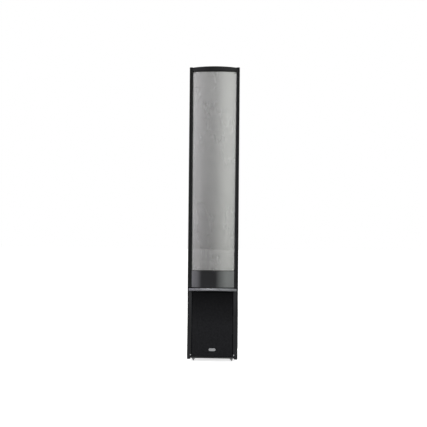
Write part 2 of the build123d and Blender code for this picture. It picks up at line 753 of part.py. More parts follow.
def build_badge():
    """A plain rounded plate on two pins, with a raised rim."""
    back_y = GRILLE_FRONT_Y - 0.1
    outline = Plane.XZ * SlotOverall(BADGE_W, BADGE_H)
    plate = Pos(0, back_y, BADGE_Z) * extrude(outline, BADGE_T)
    field = extrude(Plane.XZ * SlotOverall(BADGE_W - 3, BADGE_H - 3), 3)
    plate -= Pos(0, back_y - BADGE_T + 0.5, BADGE_Z) * field
    for x in BADGE_PINS:
        plate += rod_y(x, BADGE_Z, 1.0, back_y - 0.5, GRILLE_FRONT_Y + 5)
    save("badge", plate)


# === Feet =====================================================================
def spike_places():
    return [(x, y) for y in (SPIKE_FRONT_Y, SPIKE_REAR_Y) for x in (-SPIKE_X, SPIKE_X)]


def build_feet():
    names = ("front_left", "front_right", "rear_left", "rear_right")
    nuts = []
    inserts = []
    nut_low = BASE_BOTTOM - NUT_T
    cone_top = nut_low - 0.1
    for name, (x, y) in zip(names, spike_places()):
        cone = Pos(x, y, 4.75) * Cone(SPIKE_TIP_R, SPIKE_R, 9.5)
        collar = rod_z(x, y, SPIKE_R, 9.5, cone_top)
        stud = rod_z(x, y, STUD_R, cone_top, STUD_TOP)
        stud = chamfer(stud.edges().group_by(Axis.Z)[-1], 0.8)
        save("spike_" + name, cone + collar + stud)
        across_corners = NUT_FLATS / sqrt(3)
        nut = Pos(x, y, nut_low) * extrude(RegularPolygon(across_corners, 6), NUT_T)
        nuts.append(nut - rod_z(x, y, STUD_R + THREAD_CLEAR, 5, 20))
        insert = rod_z(x, y, INSERT_R, BASE_BOTTOM, BASE_TOP - 2.2)
        inserts.append(insert - rod_z(x, y, STUD_R + THREAD_CLEAR, 10, 40))
    save("lock_nuts", *nuts)
    save("threaded_inserts", *inserts)


# === Electronics ==============================================================
def build_boards():
    top = BOARD_Z + BOARD_T
    board = block(-BOARD_X, BOARD_X, *BOARD_Y, BOARD_Z, top)
    standoffs = []
    for x in (-BOARD_X + 7, BOARD_X - 7):
        for y in (BOARD_Y[0] + 7, BOARD_Y[1] - 7):
            board -= rod_z(x, y, 1.6, BOARD_Z - 1, top + 1)
            post = Pos(x, y, BASE_TOP) * extrude(RegularPolygon(3.5, 6), BOARD_Z - BASE_TOP)
            post += rod_z(x, y, 1.5, BOARD_Z, top + 2.5)
            standoffs.append(post)
    save("crossover_board", board)
    save("board_standoffs", *standoffs)
    bias = block(14, 78, 132, 133.6, top + 0.1, top + 40)
    for i in range(5):
        bias += rod_x(128, top + 28, 4.4, 17 + 12 * i, 26 + 12 * i)
        bias += rod_x(129, top + 14, 3.4, 17 + 12 * i, 25 + 12 * i)
    save("bias_board", bias)


def build_filter_parts():
    top = BOARD_Z + BOARD_T
    coil = rod_z(44, 74, 27, top + 0.1, top + 24) - rod_z(44, 74, 13, top - 1, top + 30)
    coil = fillet(coil.edges(), 2.5)
    save("inductor", coil)
    caps = []
    for x, y, radius, length in ((-4, 44, 11, 44), (-4, 70, 9, 38), (-60, 40, 8, 30)):
        can = rod_x(y, top + radius + 0.1, radius, x - length / 2, x + length / 2)
        caps.append(fillet(can.edges().filter_by(GeomType.CIRCLE), 1.5))
    save("capacitors", *caps)


def build_transformer():
    """Laminated step-up transformer with its bobbin on the centre leg."""
    base = BOARD_Z + BOARD_T + 0.1
    x0, x1, y0, y1 = -72.0, -8.0, 86.0, 128.0
    core = block(x0, x1, y0 + 8, y1 - 8, base, base + 54)
    core -= block(x0 + 10, x0 + 22, 0, 200, base + 10, base + 44)
    core -= block(x1 - 22, x1 - 10, 0, 200, base + 10, base + 44)
    save("transformer_core", core)
    bobbin = block(x0 + 10.4, x1 - 10.4, y0, y1, base + 10.4, base + 43.6)
    bobbin = fillet(bobbin.edges().filter_by(Axis.Z), 5)
    leg = block(x0 + 21.8, x1 - 21.8, y0 + 7.8, y1 - 7.8, base, base + 54)
    save("transformer_bobbin", bobbin - leg)


def build_wiring():
    """Leads from the posts to the board and from the board to the woofer."""
    top = BOARD_Z + BOARD_T
    leads = []
    for x in POST_X:
        path = ((x, 167.4, CUP_Z), (x, 158, CUP_Z), (x, 152, 50), (x, 138, top + 1.5))
        leads.append(wire(LEAD_R, 5.0, *path))
    for x in (-8.0, 8.0):
        low = top + 1.5
        path = ((x, 34, low), (x, 25, low), (x, 25, 84), (x * 2, -40, 92), (x, -68, 108))
        leads.append(wire(LEAD_R, 5.0, *path))
    save("internal_wiring", *leads)


# === Rear terminals ===========================================================
def cup_screw_places():
    return [(x, z) for x in (-CUP_W / 2 + 4.5, CUP_W / 2 - 4.5) for z in (CUP_Z - 26.5, CUP_Z + 26.5)]


def build_terminal_cup():
    rear = CABINET_REAR_Y
    half_w, half_h = CUP_RECESS_W / 2, CUP_RECESS_H / 2
    flange = block(-CUP_W / 2, CUP_W / 2, rear, rear + CUP_T, CUP_Z - CUP_H / 2, CUP_Z + CUP_H / 2)
    flange = fillet(flange.edges().filter_by(Axis.Y), 5)
    flange = fillet(flange.edges().group_by(Axis.Y)[-1], 1.0)
    low, high = CUP_Z - half_h, CUP_Z + half_h
    wall = CUP_T
    tub = block(-half_w - wall, half_w + wall, CUP_FLOOR_Y - wall, rear, low - wall, high + wall)
    recess = block(-half_w, half_w, CUP_FLOOR_Y, rear + 10, low, high)
    recess = fillet(recess.edges().filter_by(Axis.Y), 6)
    cup = flange + tub - recess
    for x, z in cup_screw_places():
        cup -= rod_y(x, z, 1.7, rear - 1, rear + 10)
    for x in POST_X:
        cup -= rod_y(x, CUP_Z, POST_R + 0.1, 160, 190)
    cup -= rod_y(JACK_X, CUP_Z - 4, 6.1, 160, 190)
    cup -= rod_y(JACK_X, CUP_Z + 14, 1.6, 160, 190)
    save("terminal_cup", cup)
    screws = []
    for x, z in cup_screw_places():
        screw = rod_y(x, z, 1.3, rear - 10, rear + CUP_T)
        head = rod_y(x, z, 2.8, rear + CUP_T, rear + CUP_T + 1.8)
        head = fillet(head.edges().group_by(Axis.Y)[-1], 0.8)
        slot_y = rear + CUP_T + 1.0
        head -= block(x - 2.2, x + 2.2, slot_y, slot_y + 2, z - 0.35, z + 0.35)
        head -= block(x - 0.35, x + 0.35, slot_y, slot_y + 2, z - 2.2, z + 2.2)
        screws.append(screw + head)
    save("terminal_screws", *screws)


def build_posts():
    """Binding posts with a plug hole in the end, each with a washer and a thumb nut."""
    seat_y = CUP_FLOOR_Y + 2.0
    nut_y = seat_y + WASHER_T
    posts = []
    for x in POST_X:
        post = rod_y(x, CUP_Z, POST_R, 168.0, POST_END_Y)
        post += rod_y(x, CUP_Z, 6.8, CUP_FLOOR_Y + 0.05, seat_y)
        nut = Pos(x, 173.4, CUP_Z) * Rot(90, 0, 0) * extrude(RegularPolygon(6.0, 6), 3.0)
        post += nut
        post -= rod_y(x, CUP_Z, BANANA_R, POST_END_Y - BANANA_DEPTH, POST_END_Y + 1)
        posts.append(post)
    save("binding_posts", *posts)
    for colour, x in zip(("black", "red"), POST_X):
        washer = rod_y(x, CUP_Z, 6.6, seat_y, nut_y)
        washer -= rod_y(x, CUP_Z, POST_R + NUT_CLEAR, 170, 200)
        save("post_washer_" + colour, washer)
        thumb = rod_y(x, CUP_Z, THUMB_R, nut_y, nut_y + THUMB_L)
        thumb = fillet(thumb.edges().group_by(Axis.Y)[-1], 1.2)
        for dx, dz in round_places(12, THUMB_R + 0.4):
            thumb -= rod_y(x + dx, CUP_Z + dz, 1.1, nut_y + 2.0, nut_y + THUMB_L + 1)
        thumb -= rod_y(x, CUP_Z, POST_R + NUT_CLEAR, 170, 210)
        save("post_nut_" + colour, thumb)


def build_jack_and_light():
    z = CUP_Z - 4
    barrel = rod_y(JACK_X, z, 6.0, 166, CUP_FLOOR_Y + 3.0) - rod_y(JACK_X, z, 2.9, 170, 190)
    barrel += rod_y(JACK_X, z, 1.0, 166, CUP_FLOOR_Y + 1.0)
    rim = rod_y(JACK_X, z, 7.6, CUP_FLOOR_Y + 0.05, CUP_FLOOR_Y + 1.6)
    barrel += rim - rod_y(JACK_X, z, 5.5, 170, 190)
    save("power_jack", barrel)
    lens = rod_y(JACK_X, CUP_Z + 14, 1.5, 168, CUP_FLOOR_Y)
    lens += Pos(JACK_X, CUP_FLOOR_Y, CUP_Z + 14) * Sphere(1.5)
    save("status_light", lens)


# === Build ====================================================================
os.makedirs("parts", exist_ok=True)
build_rails()
build_top_cap()
build_cross_member()
build_locating_pins()
build_lower_fascia()
build_ledge_trim()
build_panel()
build_edge_gaskets()
build_panel_leads()
build_cabinet()
build_baffle()
build_base()
build_brace()
build_wadding()
build_port()
build_basket()
build_motor()
build_moving_parts()
build_surround()
build_spider()
build_woofer_fixings()
build_grille()
build_badge()
build_feet()
build_boards()
build_filter_parts()
build_transformer()
build_wiring()
build_terminal_cup()
build_posts()
build_jack_and_light()
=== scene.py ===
"""Floorstanding hybrid loudspeaker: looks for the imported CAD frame. Metres, +Z up, front faces -Y."""

import json
import math

import bmesh
import bpy
import numpy as np
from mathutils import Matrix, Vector, noise


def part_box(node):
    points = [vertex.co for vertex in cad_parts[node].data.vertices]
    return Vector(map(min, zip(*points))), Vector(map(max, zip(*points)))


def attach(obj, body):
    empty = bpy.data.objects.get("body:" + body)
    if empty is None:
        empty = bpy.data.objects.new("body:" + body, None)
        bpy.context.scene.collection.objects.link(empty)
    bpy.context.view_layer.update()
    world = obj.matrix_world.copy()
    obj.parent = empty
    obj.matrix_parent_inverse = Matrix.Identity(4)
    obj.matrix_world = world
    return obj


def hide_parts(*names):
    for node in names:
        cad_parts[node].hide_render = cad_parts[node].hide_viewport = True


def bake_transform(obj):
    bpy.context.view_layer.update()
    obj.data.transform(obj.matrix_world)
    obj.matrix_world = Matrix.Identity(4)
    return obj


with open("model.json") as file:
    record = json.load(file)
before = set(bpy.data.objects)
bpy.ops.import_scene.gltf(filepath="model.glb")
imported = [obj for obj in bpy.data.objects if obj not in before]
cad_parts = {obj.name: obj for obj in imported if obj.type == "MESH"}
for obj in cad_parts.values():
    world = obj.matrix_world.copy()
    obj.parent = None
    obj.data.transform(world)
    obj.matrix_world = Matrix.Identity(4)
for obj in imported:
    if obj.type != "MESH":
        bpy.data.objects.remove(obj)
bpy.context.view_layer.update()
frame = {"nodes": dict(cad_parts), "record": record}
nodes = frame["nodes"]
scene = bpy.context.scene


# === Materials ================================================================
COAT_ROUGHNESS = 0.05
CLOTH_ROUGHNESS_SPREAD = 0.06


def new_material(name):
    """A material with its node tree, its Principled shader and an object-space coordinate."""
    mat = bpy.data.materials.new(name)
    mat.use_nodes = True
    tree = mat.node_tree
    shader = tree.nodes["Principled BSDF"]
    place = tree.nodes.new("ShaderNodeTexCoord").outputs["Object"]
    return mat, tree, shader, place


def stretched(tree, place, stretch):
    """Object coordinates scaled by axis, so that a pattern runs long along one of them."""
    mapping = tree.nodes.new("ShaderNodeMapping")
    mapping.inputs["Scale"].default_value = stretch
    tree.links.new(place, mapping.inputs["Vector"])
    return mapping.outputs["Vector"]


def noise_value(tree, place, scale, detail=3.0, rough=0.55):
    """Noise from 0 to 1, mostly between 0.3 and 0.7. A higher scale makes it finer."""
    tex = tree.nodes.new("ShaderNodeTexNoise")
    tex.inputs["Scale"].default_value = scale
    tex.inputs["Detail"].default_value = detail
    tex.inputs["Roughness"].default_value = rough
    tree.links.new(place, tex.inputs["Vector"])
    return tex.outputs["Fac"]


def bands(tree, place, pitch, direction):
    """Parallel ridges across one axis, one every pitch metres."""
    # The wave texture repeats every pi / (10 * scale).
    tex = tree.nodes.new("ShaderNodeTexWave")
    tex.bands_direction = direction
    tex.inputs["Scale"].default_value = math.pi / (10 * pitch)
    tex.inputs["Distortion"].default_value = 0.0
    tree.links.new(place, tex.inputs["Vector"])
    return tex.outputs["Fac"]


def ramp(tree, value, low, high, start=0.3, stop=0.7):
    """Turns a 0-1 value into a colour between low and high."""
    node = tree.nodes.new("ShaderNodeValToRGB")
    node.color_ramp.elements[0].position = start
    node.color_ramp.elements[1].position = stop
    node.color_ramp.elements[0].color = (*low, 1)
    node.color_ramp.elements[1].color = (*high, 1)
    tree.links.new(value, node.inputs["Fac"])
    return node.outputs["Color"]


def span(tree, value, low, high):
    """Turns noise into a number between low and high."""
    node = tree.nodes.new("ShaderNodeMapRange")
    node.inputs["From Min"].default_value = 0.3
    node.inputs["From Max"].default_value = 0.7
    node.inputs["To Min"].default_value = low
    node.inputs["To Max"].default_value = high
    tree.links.new(value, node.inputs["Value"])
    return node.outputs["Result"]


def combine(tree, a, b, operation="MULTIPLY"):
    """One number from two."""
    node = tree.nodes.new("ShaderNodeMath")
    node.operation = operation
    tree.links.new(a, node.inputs[0])
    tree.links.new(b, node.inputs[1])
    return node.outputs["Value"]


def add_bump(tree, shader, height, distance):
    """Raises the surface by up to distance metres where height is 1."""
    node = tree.nodes.new("ShaderNodeBump")
    node.inputs["Strength"].default_value = 1.0
    node.inputs["Distance"].default_value = distance
    tree.links.new(height, node.inputs["Height"])
    tree.links.new(node.outputs["Normal"], shader.inputs["Normal"])


def shaded_by_height(tree, place, colour, low, high):
    """Scales a colour by height, for painted light and shade that change with height: low and high are (z,
    factor) pairs, with an even run between them.
    """
    split = tree.nodes.new("ShaderNodeSeparateXYZ")
    tree.links.new(place, split.inputs["Vector"])
    share = tree.nodes.new("ShaderNodeMapRange")
    share.inputs["From Min"].default_value, share.inputs["To Min"].default_value = low
    share.inputs["From Max"].default_value, share.inputs["To Max"].default_value = high
    tree.links.new(split.outputs["Z"], share.inputs["Value"])
    dim = tree.nodes.new("ShaderNodeVectorMath")
    dim.operation = "SCALE"
    tree.links.new(colour, dim.inputs["Vector"])
    tree.links.new(share.outputs["Result"], dim.inputs["Scale"])
    return dim.outputs["Vector"]


def surface(
    name,
    low,
    high,
    rough,
    scale=60.0,
    stretch=(1, 1, 1),
    grain=900.0,
    grain_depth=0.00003,
    metallic=0.0,
    specular=0.5,
    coat=0.0,
    sheen=0.0,
    heights=None,
):
    """A mottled colour, a varied roughness and a fine grain, all at the object's real scale.

    low and high are the colours' ends, rough the roughness's ends, scale and grain the blotches' and the
    grain's fineness, and heights the two ends for shaded_by_height, the painted light and shade by height.
    """
    mat, tree, shader, place = new_material(name)
    along = stretched(tree, place, stretch)
    blotch = noise_value(tree, along, scale)
    fine = noise_value(tree, along, grain, 2.0)
    colour = ramp(tree, blotch, low, high)
    if heights:
        colour = shaded_by_height(tree, place, colour, *heights)
    tree.links.new(colour, shader.inputs["Base Color"])
    worn = combine(tree, blotch, fine, "MAXIMUM")
    tree.links.new(span(tree, worn, *rough), shader.inputs["Roughness"])
    add_bump(tree, shader, fine, grain_depth)
    shader.inputs["Metallic"].default_value = metallic
    shader.inputs["Specular IOR Level"].default_value = specular
    shader.inputs["Coat Weight"].default_value = coat
    shader.inputs["Coat Roughness"].default_value = COAT_ROUGHNESS
    shader.inputs["Sheen Weight"].default_value = sheen
    return mat


def woven(name, warp, weft, pitch, depth, rough, sheen=0.3, specular=0.25, heights=None):
    """Plain cloth that faces forwards: upright and level threads, pitch metres apart."""
    mat, tree, shader, place = new_material(name)
    upright = bands(tree, place, pitch, "X")
    level = bands(tree, place, pitch, "Z")
    threads = combine(tree, upright, level, "MAXIMUM")
    slub = noise_value(tree, place, 140.0, 4.0)
    cover = combine(tree, threads, slub)
    colour = ramp(tree, cover, warp, weft, 0.15, 0.6)
    if heights:
        colour = shaded_by_height(tree, place, colour, *heights)
    tree.links.new(colour, shader.inputs["Base Color"])
    rough_ends = (rough - CLOTH_ROUGHNESS_SPREAD, rough + CLOTH_ROUGHNESS_SPREAD)
    tree.links.new(span(tree, slub, *rough_ends), shader.inputs["Roughness"])
    add_bump(tree, shader, threads, depth)
    shader.inputs["Sheen Weight"].default_value = sheen
    shader.inputs["Specular IOR Level"].default_value = specular
    return mat


def ridged(name, low, high, rough, pitch, axis, depth, metallic=0.0, specular=0.5, coat=0.0):
    """Wound wire, laminations or tape: ridges, painted darker in the grooves between them as shade."""
    mat, tree, shader, place = new_material(name)
    ridge = bands(tree, place, pitch, axis)
    blotch = noise_value(tree, place, 220.0)
    # Painted shade: the grooves between ridges get the darker colour.
    shade = combine(tree, ridge, blotch)
    tree.links.new(ramp(tree, shade, low, high, 0.1, 0.55), shader.inputs["Base Color"])
    tree.links.new(span(tree, blotch, *rough), shader.inputs["Roughness"])
    add_bump(tree, shader, ridge, depth)
    shader.inputs["Metallic"].default_value = metallic
    shader.inputs["Specular IOR Level"].default_value = specular
    shader.inputs["Coat Weight"].default_value = coat
    return mat


def clear_sheet(name, tint, alpha, rough, glow=0.0):
    """Thin clear plastic with a slightly uneven gloss. glow is painted light: an emission that stands in
    for the light the sheet catches from the lamps.
    """
    mat, tree, shader, place = new_material(name)
    shader.inputs["Base Color"].default_value = (*tint, 1)
    shader.inputs["Alpha"].default_value = alpha
    shader.inputs["Emission Color"].default_value = (*tint, 1)
    shader.inputs["Emission Strength"].default_value = glow
    ripple = noise_value(tree, place, 12.0)
    tree.links.new(span(tree, ripple, rough, rough * 2), shader.inputs["Roughness"])
    return mat


def circuit(name):
    """Green lacquered board with paler copper tracks under the lacquer."""
    mat, tree, shader, place = new_material(name)
    tracks = tree.nodes.new("ShaderNodeTexBrick")
    tracks.inputs["Scale"].default_value = 55.0
    tracks.inputs["Mortar Size"].default_value = 0.035
    tracks.inputs["Color1"].default_value = (0.012, 0.07, 0.03, 1)
    tracks.inputs["Color2"].default_value = (0.016, 0.09, 0.04, 1)
    tracks.inputs["Mortar"].default_value = (0.05, 0.2, 0.08, 1)
    tree.links.new(place, tracks.inputs["Vector"])
    tree.links.new(tracks.outputs["Color"], shader.inputs["Base Color"])
    blotch = noise_value(tree, place, 90.0)
    tree.links.new(span(tree, blotch, 0.22, 0.4), shader.inputs["Roughness"])
    add_bump(tree, shader, tracks.outputs["Fac"], 0.00005)
    return mat


def build_materials():
    """One material for each of the record's material slots, and baffle_black, a darker black for two nodes:
    partly their own matte black, partly painted shade for the gaps round the grille.
    """
    m = {}
    # Painted light: heights make the rails up to 3.1 times lighter below 0.3 m, easing to their own colour
    # at 0.36 m, a painted reflection of the pale floor on their lower ends.
    m["rail_black"] = surface(
        "rail_black", (0.003, 0.003, 0.0032), (0.006, 0.006, 0.0064), (0.26, 0.36),
        scale=60.0, stretch=(1, 1, 0.1), grain=1600.0, grain_depth=0.00002, specular=0.08,
        heights=((0.3, 3.1), (0.36, 1.0)),
    )
    m["cap_black"] = surface(
        "cap_black", (0.005, 0.005, 0.0052), (0.009, 0.009, 0.0093), (0.3, 0.42),
        scale=30.0, grain=1500.0, grain_depth=0.00002, specular=0.135,
    )
    m["structure_black"] = surface(
        "structure_black", (0.012, 0.012, 0.012), (0.025, 0.025, 0.026), (0.5, 0.7), grain=1100.0
    )
    m["stator_coat"] = stator_coat()
    m["film_clear"] = clear_sheet("film_clear", (0.24, 0.22, 0.2), 0.1, 0.08)
    # Painted light: the spacer bars glow with an emission of 0.9 at 7 percent opacity, for the light they
    # catch from the lamps.
    m["spacer_clear"] = clear_sheet("spacer_clear", (0.95, 0.95, 0.93), 0.07, 0.3, 0.9)
    m["foam_black"] = surface(
        "foam_black", (0.008, 0.008, 0.008), (0.03, 0.03, 0.03), (0.85, 1.0),
        scale=700.0, grain=2200.0, grain_depth=0.0002, specular=0.2,
    )
    m["fascia_gloss"] = surface(
        "fascia_gloss", (0.004, 0.004, 0.0048), (0.006, 0.006, 0.0072), (0.05, 0.09),
        scale=14.0, grain=40.0, grain_depth=0.000004, specular=0.42,
    )
    m["ledge_silver"] = surface(
        "ledge_silver", (0.07, 0.07, 0.0735), (0.11, 0.11, 0.116), (0.3, 0.4),
        scale=420.0, stretch=(0.02, 1, 1), grain=2400.0, grain_depth=0.00001, metallic=1.0,
    )
    m["cabinet_black"] = surface(
        "cabinet_black", (0.014, 0.014, 0.0145), (0.024, 0.024, 0.0245), (0.32, 0.44),
        scale=120.0, stretch=(1, 1, 0.12), grain=1300.0, grain_depth=0.00003, specular=0.45,
    )
    # Darker than cabinet_black: partly the baffle's own matte black, partly painted shade for the gaps
    # round the grille.
    m["baffle_black"] = surface(
        "baffle_black", (0.003, 0.003, 0.003), (0.007, 0.007, 0.007), (0.6, 0.75),
        scale=150.0, grain=1400.0, grain_depth=0.00005, specular=0.15,
    )
    m["board_raw"] = surface(
        "board_raw", (0.26, 0.17, 0.09), (0.45, 0.33, 0.2), (0.75, 0.95),
        scale=300.0, grain=1400.0, grain_depth=0.0001, specular=0.2,
    )
    m["wadding_white"] = surface(
        "wadding_white", (0.5, 0.49, 0.45), (0.8, 0.79, 0.75), (0.9, 1.0),
        scale=260.0, stretch=(1, 1, 0.3), grain=900.0, grain_depth=0.0008, specular=0.1, sheen=0.5,
    )
    # Painted shadow: heights take the cloth from 1.1 times its colour at 0.16 m down to 0.3 times at 0.314
    # m, the ledge's shadow on its top.
    m["cloth_black"] = woven(
        "cloth_black", (0.0045, 0.0045, 0.005), (0.0165, 0.0165, 0.018), 0.0016, 0.00025, 0.85, sheen=0.0,
        specular=0.05, heights=((0.16, 1.1), (0.314, 0.3)),
    )
    m["badge_silver"] = surface(
        "badge_silver", (0.24, 0.24, 0.245), (0.4, 0.4, 0.41), (0.25, 0.38),
        scale=900.0, stretch=(0.05, 1, 1), grain=3000.0, grain_depth=0.00001, metallic=1.0,
    )
    m["steel_bright"] = surface(
        "steel_bright", (0.5, 0.5, 0.51), (0.68, 0.68, 0.69), (0.12, 0.24),
        scale=500.0, stretch=(1, 1, 6), grain=2600.0, grain_depth=0.00001, metallic=1.0,
    )
    m["steel_dark"] = surface(
        "steel_dark", (0.1, 0.1, 0.105), (0.2, 0.2, 0.205), (0.25, 0.4),
        scale=500.0, grain=2600.0, grain_depth=0.00001, metallic=1.0,
    )
    m["basket_black"] = surface(
        "basket_black", (0.012, 0.012, 0.013), (0.03, 0.03, 0.031), (0.45, 0.65),
        scale=180.0, grain=1500.0, grain_depth=0.0001, specular=0.4,
    )
    m["ferrite"] = surface(
        "ferrite", (0.03, 0.03, 0.032), (0.075, 0.075, 0.08), (0.6, 0.8),
        scale=150.0, grain=1200.0, grain_depth=0.0001, specular=0.35,
    )
    m["motor_steel"] = surface(
        "motor_steel", (0.28, 0.28, 0.28), (0.42, 0.42, 0.41), (0.28, 0.44),
        scale=240.0, stretch=(1, 5, 1), grain=1600.0, grain_depth=0.00002, metallic=1.0,
    )
    m["cone_paper"] = surface(
        "cone_paper", (0.008, 0.008, 0.009), (0.026, 0.026, 0.028), (0.55, 0.8),
        scale=420.0, grain=1300.0, grain_depth=0.00015, specular=0.3, sheen=0.1,
    )
    m["cone_rubber"] = surface(
        "cone_rubber", (0.008, 0.008, 0.0085), (0.016, 0.016, 0.017), (0.42, 0.6),
        scale=110.0, grain=1700.0, grain_depth=0.00003, specular=0.4,
    )
    m["spider_cloth"] = woven(
        "spider_cloth", (0.28, 0.17, 0.05), (0.6, 0.42, 0.16), 0.0012, 0.0002, 0.75
    )
    m["former_amber"] = surface(
        "former_amber", (0.34, 0.16, 0.03), (0.5, 0.27, 0.06), (0.2, 0.35),
        scale=60.0, stretch=(1, 8, 1), grain=900.0, coat=0.3,
    )
    m["copper_wire"] = ridged(
        "copper_wire", (0.35, 0.12, 0.05), (0.72, 0.33, 0.18), (0.22, 0.36), 0.0005, "Y", 0.0001, 1.0
    )
    m["seal_rubber"] = surface(
        "seal_rubber", (0.012, 0.012, 0.012), (0.028, 0.028, 0.028), (0.6, 0.8), grain=1400.0
    )
    m["board_green"] = circuit("board_green")
    m["brass_nickel"] = surface(
        "brass_nickel", (0.42, 0.36, 0.22), (0.62, 0.55, 0.38), (0.25, 0.4),
        scale=400.0, grain=2000.0, grain_depth=0.00001, metallic=1.0,
    )
    m["cap_film_blue"] = surface(
        "cap_film_blue", (0.02, 0.045, 0.2), (0.035, 0.07, 0.3), (0.2, 0.34),
        scale=90.0, stretch=(4, 1, 1), grain=800.0, coat=0.4,
    )
    m["core_steel"] = ridged(
        "core_steel", (0.07, 0.07, 0.075), (0.24, 0.24, 0.25), (0.35, 0.5), 0.001, "Y", 0.00015, 0.9
    )
    m["winding_tape"] = ridged(
        "winding_tape", (0.42, 0.28, 0.05), (0.7, 0.52, 0.14), (0.25, 0.4), 0.006, "Z", 0.0002, coat=0.4
    )
    m["lead_black"] = surface(
        "lead_black", (0.012, 0.012, 0.012), (0.024, 0.024, 0.025), (0.4, 0.55),
        scale=160.0, grain=1500.0, grain_depth=0.00002,
    )
    m["cup_black"] = surface(
        "cup_black", (0.01, 0.01, 0.011), (0.02, 0.02, 0.021), (0.4, 0.6),
        scale=90.0, grain=1900.0, grain_depth=0.00008, specular=0.4,
    )
    m["post_gold"] = surface(
        "post_gold", (0.72, 0.45, 0.14), (0.88, 0.6, 0.24), (0.14, 0.26),
        scale=600.0, grain=2600.0, grain_depth=0.00001, metallic=1.0,
    )
    m["nut_black"] = surface(
        "nut_black", (0.004, 0.004, 0.004), (0.01, 0.01, 0.01), (0.15, 0.3),
        scale=200.0, grain=1500.0, grain_depth=0.00002, coat=0.3,
    )
    m["nut_red"] = surface(
        "nut_red", (0.3, 0.008, 0.008), (0.45, 0.014, 0.012), (0.15, 0.3),
        scale=200.0, grain=1500.0, grain_depth=0.00002, coat=0.3,
    )
    m["light_blue"] = surface(
        "light_blue", (0.05, 0.14, 0.5), (0.1, 0.24, 0.75), (0.08, 0.16),
        scale=500.0, grain=900.0, grain_depth=0.00001, coat=0.5,
    )
    return m


def stator_coat():
    """Dark insulating lacquer over perforated steel, a little uneven from one place to the next."""
    mat, tree, shader, place = new_material("stator_coat")
    cloud = noise_value(tree, stretched(tree, place, (1, 1, 0.35)), 14.0, 4.0)
    colour = ramp(tree, cloud, (0.108, 0.106, 0.102), (0.12, 0.117, 0.112))
    # Painted light: the coat runs from its own colour at 0.95 m to 1.09 times at 1.25 m, more lamp light
    # painted on the top of the panel.
    colour = shaded_by_height(tree, place, colour, (0.95, 1.0), (1.25, 1.09))
    tree.links.new(colour, shader.inputs["Base Color"])
    tree.links.new(span(tree, cloud, 0.26, 0.3), shader.inputs["Roughness"])
    shader.inputs["Metallic"].default_value = 0.8
    return mat


def paint(obj, material):
    """Gives every slot of an object this material, without touching its mesh."""
    if not obj.material_slots:
        obj.data.materials.append(material)
    for slot in obj.material_slots:
        slot.link = "OBJECT"
        slot.material = material


materials = build_materials()
slot_of = {part["node"]: part["material_slot"] for part in frame["record"]["subparts"]}
for name, node in nodes.items():
    paint(node, materials[slot_of[name]])
# The baffle and grille frame get baffle_black, partly their own matte black and partly painted shade that
# darkens the gaps round the grille.
for name in ("front_baffle", "grille_frame"):
    paint(nodes[name], materials["baffle_black"])


# === Building helpers =========================================================
SHARP_ANGLE = 40


def stand_for(obj, node):
    """Puts a new piece in a CAD node's place, with the node's slot and material."""
    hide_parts(node)
    paint(obj, materials[slot_of[node]])


def piece(name, vertices, faces, node):
    """A new smooth-shaded piece that stands for a CAD node."""
    mesh = bpy.data.meshes.new(name)
    mesh.from_pydata(vertices, [], faces)
    mesh.validate()
    mesh.shade_smooth()
    mesh.set_sharp_from_angle(angle=math.radians(SHARP_ANGLE))
    obj = bpy.data.objects.new(name, mesh)
    scene.collection.objects.link(obj)
    stand_for(obj, node)
    return obj


def vertex_places(mesh):
    """The vertices' places as an array of (x, y, z) rows."""
    places = np.zeros(len(mesh.vertices) * 3)
    mesh.vertices.foreach_get("co", places)
    return places.reshape(-1, 3)


def lathed(outline, centre, turns):
    """Vertices and faces of a closed outline of (radius, y) points turned about an axis along Y."""
    x, z = centre
    count = len(outline)
    vertices = [
        (x + r * math.cos(2 * math.pi * t / turns), y, z + r * math.sin(2 * math.pi * t / turns))
        for t in range(turns)
        for r, y in outline
    ]
    faces = []
    for t in range(turns):
        a, b = t * count, (t + 1) % turns * count
        for i in range(count):
            j = (i + 1) % count
            faces.append((a + i, a + j, b + j, b + i))
    return vertices, faces


def arc(cx, cy, radius, start, stop, steps):
    """Points along an arc, angles in degrees."""
    angles = [math.radians(start + (stop - start) * i / steps) for i in range(steps + 1)]
    return [(cx + radius * math.cos(a), cy + radius * math.sin(a)) for a in angles]


# === Perforated panel =========================================================
HOLE_PITCH = 0.0042
HOLE_RADIUS = 0.00135
ROW_HEIGHT = HOLE_PITCH * math.sqrt(3) / 2
# Twelve corners to a hole, for the six corners and six side middles of its hexagon.
HOLE_SIDES = 12
SHEET_THICKNESS = 0.0012
HOLES_HALF_WIDTH = 0.1035
HOLES_BOTTOM = 0.404
HOLES_TOP = 1.320
REAR_SHEET_RISE = 0.0010
SAME_PLACE = 1e-6


def hole_centres(rise):
    """Places of the holes on the unrolled sheet, in staggered rows, as (along the arc, z)."""
    rows = int((HOLES_TOP - HOLES_BOTTOM) / ROW_HEIGHT)
    columns = int(HOLES_HALF_WIDTH / HOLE_PITCH)
    steps = []
    for j in range(rows + 1):
        shift = j % 2
        for i in range(-columns, columns + 1 - shift):
            steps.append((2 * i + shift, j))
    steps = np.array(steps)
    return np.column_stack((steps[:, 0] * HOLE_PITCH / 2, HOLES_BOTTOM + rise + steps[:, 1] * ROW_HEIGHT))


def hexagon(angles):
    """Corners and side middles of the metal round one hole, in turn."""
    corner = HOLE_PITCH / math.sqrt(3)
    reach = [corner, corner * math.cos(math.pi / 6)] * (HOLE_SIDES // 2)
    return np.array([(r * math.cos(a), r * math.sin(a)) for r, a in zip(reach, angles)])


